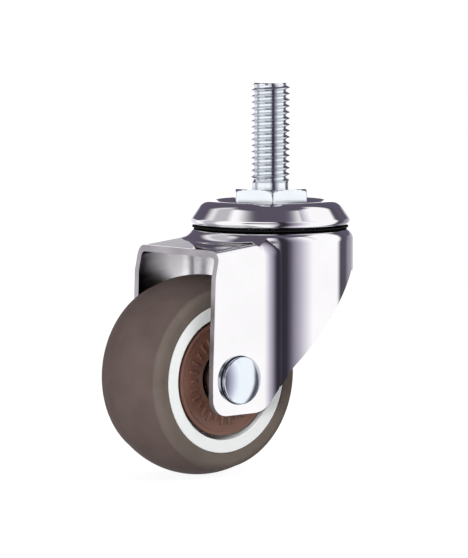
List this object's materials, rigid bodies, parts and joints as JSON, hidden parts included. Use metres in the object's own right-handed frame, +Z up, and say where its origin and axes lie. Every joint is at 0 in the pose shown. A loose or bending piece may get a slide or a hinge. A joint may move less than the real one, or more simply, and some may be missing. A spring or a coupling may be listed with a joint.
{
  "type": "swivel castor",
  "caption": "Small swivel castor with a threaded stem, a ball race head, a pressed chrome fork and a soft-tyred wheel.",
  "frame": {"origin": "centre of the stem's seat, which is the top face of the hexagonal collar, on the swivel axis", "axes": "+Z up along the stem and the swivel axis; -X towards the trailing wheel; Y along the wheel's axle, with the rivet's domed head at -Y"},
  "size_m": [0.056, 0.034, 0.0779],
  "materials": {
    "zinc_steel": "bright zinc plate",
    "chrome": "polished",
    "steel": "ground",
    "seal": "matt",
    "rivet": "polished",
    "tyre": "soft satin",
    "core": "satin white",
    "cover": "satin reddish brown",
    "cage": "satin"
  },
  "bodies": {
    "head": {"stem_bolt": "zinc_steel", "cap_ring": "chrome", "lower_race_cup": "zinc_steel", "lower_balls": "steel"},
    "fork": {"fork": "chrome", "upper_balls": "steel", "dust_seal": "seal", "axle_rivet": "rivet", "rivet_washer": "zinc_steel", "axle_sleeve": "steel", "side_spacer_near": "zinc_steel", "side_spacer_far": "zinc_steel", "centre_spacer": "steel", "inner_ring_near": "steel", "inner_ring_far": "steel"},
    "wheel": {"tyre": "tyre", "wheel_core": "core", "hub_cover_near": "cover", "hub_cover_far": "cover", "outer_ring_near": "steel", "outer_ring_far": "steel", "bearing_balls_near": "steel", "bearing_balls_far": "steel", "ball_cage_near": "cage", "ball_cage_far": "cage", "bearing_shields_near": "steel", "bearing_shields_far": "steel"}
  },
  "joints": [
    {"name": "swivel", "type": "hinge", "parent": "head", "child": "fork", "pos_m": [0, 0, 0], "axis": [0, 0, 1], "continuous": true},
    {"name": "wheel_spin", "type": "hinge", "parent": "fork", "child": "wheel", "pos_m": [-0.019, 0, -0.03655], "axis": [0, 1, 0], "continuous": true}
  ]
}
